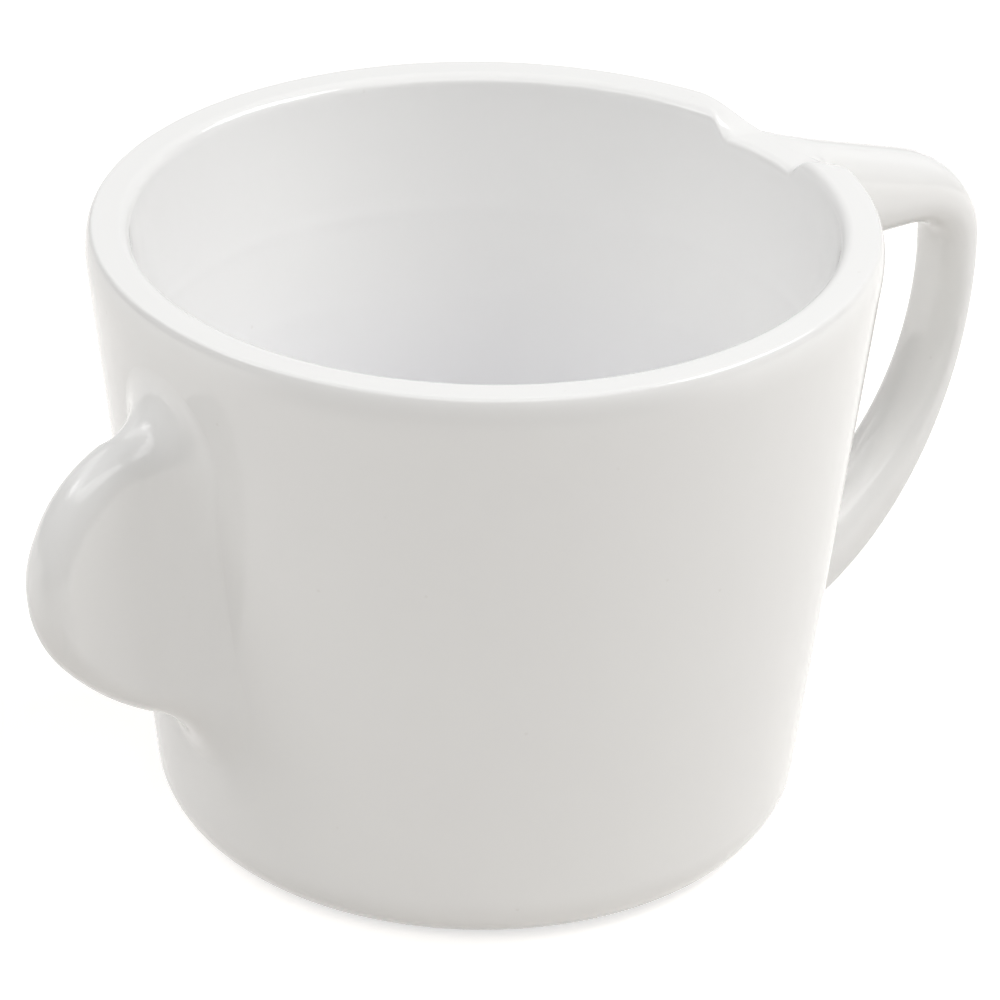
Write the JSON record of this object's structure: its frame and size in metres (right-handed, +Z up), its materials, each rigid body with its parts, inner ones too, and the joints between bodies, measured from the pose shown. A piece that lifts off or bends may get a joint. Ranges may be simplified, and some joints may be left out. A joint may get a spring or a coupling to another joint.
{
  "type": "two-handled cup",
  "caption": "Tapered thick-walled glazed cup with a rounded rim notched at its loop handle and a solid rounded lug handle opposite, for drinking with both hands.",
  "frame": {"origin": "on the cup's axis, at the middle of the flat face that it stands on", "axes": "+Z up along the cup's axis, +X towards the loop handle, -X towards the lug handle, and Y = 0 is the plane through both handles"},
  "size_m": [0.1324, 0.0894, 0.0733],
  "materials": {
    "body_glaze": "clear gloss glaze over white china",
    "loop_glaze": "clear gloss glaze over white china",
    "lug_glaze": "clear gloss glaze over white china"
  },
  "bodies": {
    "root": {"cup_body": "body_glaze", "loop_handle": "loop_glaze", "lug_handle": "lug_glaze"}
  },
  "joints": []
}
